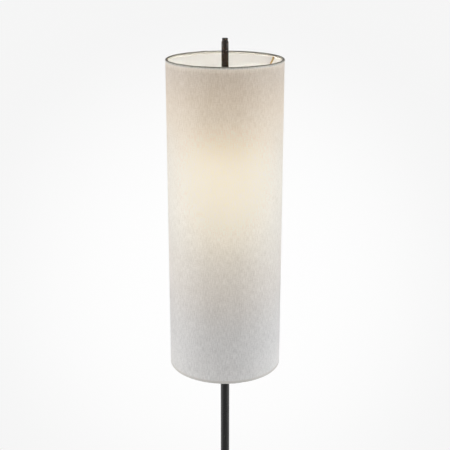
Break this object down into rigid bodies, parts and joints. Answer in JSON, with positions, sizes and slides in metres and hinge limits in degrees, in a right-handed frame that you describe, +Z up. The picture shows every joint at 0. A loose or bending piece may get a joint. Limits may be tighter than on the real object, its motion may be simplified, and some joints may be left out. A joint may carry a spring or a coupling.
{
  "type": "column floor lamp",
  "caption": "Floor lamp with a tall cloth cylinder shade on a telescopic dark metal stem and a heavy round base, with upright lamps inside the shade.",
  "frame": {"origin": "centre of the foot ring's underside, on the floor", "axes": "+Z up along the stem, front of the lamp towards -Y"},
  "size_m": [0.28, 0.28, 1.5],
  "materials": {
    "base_paint": "satin black powder coat, fine texture",
    "stem_paint": "satin black lacquer",
    "foot_rubber": "matt rubber",
    "zinc_steel": "zinc plated",
    "brass": "satin brass",
    "black_plastic": "matt",
    "natural_nylon": "natural nylon",
    "holder_moulding": "moulded, slightly glossy",
    "lamp_nickel": "nickel plated",
    "lamp_white": "white moulding",
    "lamp_opal": "opal, lit",
    "liner_sheet": "translucent sheet",
    "shade_cloth": "off-white slub weave"
  },
  "bodies": {
    "root": {"base_plate": "base_paint", "foot_ring": "foot_rubber", "recess_cover": "zinc_steel", "cover_screws": "zinc_steel", "cable_gland": "black_plastic", "terminal_block": "natural_nylon", "base_lead": "black_plastic", "stem_stud": "zinc_steel", "stud_washer": "zinc_steel", "stud_nut": "zinc_steel", "base_collar": "base_paint", "tube_plug": "zinc_steel", "lower_tube": "stem_paint", "coiled_lead": "black_plastic", "clamp_ferrule": "stem_paint", "clamp_collet": "natural_nylon"},
    "clamp_nut": {"clamp_nut": "stem_paint"},
    "stem": {"upper_rod": "stem_paint", "top_cap": "stem_paint", "rod_guide": "natural_nylon", "rod_lead": "black_plastic", "shade_stop": "stem_paint", "set_screws": "zinc_steel", "nipples": "zinc_steel", "lock_nuts": "brass", "holder_leads": "black_plastic", "upper_holder_arm": "stem_paint", "upper_holder_cap": "holder_moulding", "upper_holder_core": "holder_moulding", "upper_screw_shell": "brass", "upper_holder_skirt": "holder_moulding", "upper_lamp_cap": "lamp_nickel", "upper_lamp_neck": "lamp_white", "upper_lamp_globe": "lamp_opal", "lower_holder_arm": "stem_paint", "lower_holder_cap": "holder_moulding", "lower_holder_core": "holder_moulding", "lower_screw_shell": "brass", "lower_holder_skirt": "holder_moulding", "lower_lamp_cap": "lamp_nickel", "lower_lamp_neck": "lamp_white", "lower_lamp_globe": "lamp_opal"},
    "shade": {"spider_hub": "brass", "spider_arms": "brass", "top_ring": "zinc_steel", "bottom_ring": "zinc_steel", "shade_liner": "liner_sheet", "shade_cloth": "shade_cloth"}
  },
  "joints": [
    {"name": "stem_height", "type": "slide", "parent": "root", "child": "stem", "axis": [0, 0, 1], "range_m": [0, 0.17], "deforming": ["coiled_lead"]},
    {"name": "clamp_turn", "type": "hinge", "parent": "root", "child": "clamp_nut", "pos_m": [0, 0, 1.085], "axis": [0, 0, 1], "range_deg": [0, 270]},
    {"name": "shade_turn", "type": "hinge", "parent": "stem", "child": "shade", "pos_m": [0, 0, 1.4056], "axis": [0, 0, 1], "continuous": true}
  ]
}
